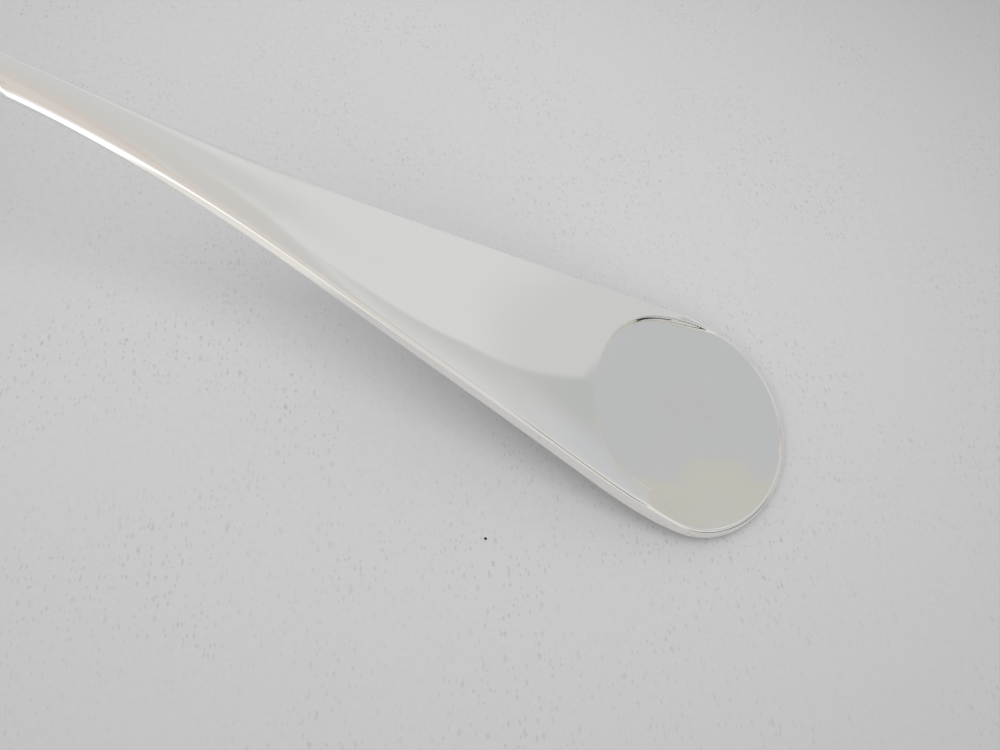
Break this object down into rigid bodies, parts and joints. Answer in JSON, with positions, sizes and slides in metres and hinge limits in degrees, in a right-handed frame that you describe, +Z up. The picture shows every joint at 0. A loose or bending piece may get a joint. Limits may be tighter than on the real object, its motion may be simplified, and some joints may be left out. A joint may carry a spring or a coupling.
{
  "type": "cheese scoop",
  "caption": "One-hand cheese scoop in solid silver: half-round trough blade with a rounded nose, and an arched handle that widens to a round lobe with a sunk disc.",
  "frame": {"origin": "middle of the scoop's box in x and y, on the plane that it rests on", "axes": "+X from the blade's nose to the handle's tip, +Z up out of the trough's open side, +Y across"},
  "size_m": [0.2294, 0.029, 0.0273],
  "materials": {
    "handle_silver": "polished solid silver with faint tarnish and fine scratches",
    "blade_silver": "polished solid silver, slightly scratched inside",
    "drop_silver": "polished solid silver, hard soldered"
  },
  "bodies": {
    "root": {"handle": "handle_silver", "scoop_blade": "blade_silver", "heel_drop": "drop_silver"}
  },
  "joints": []
}
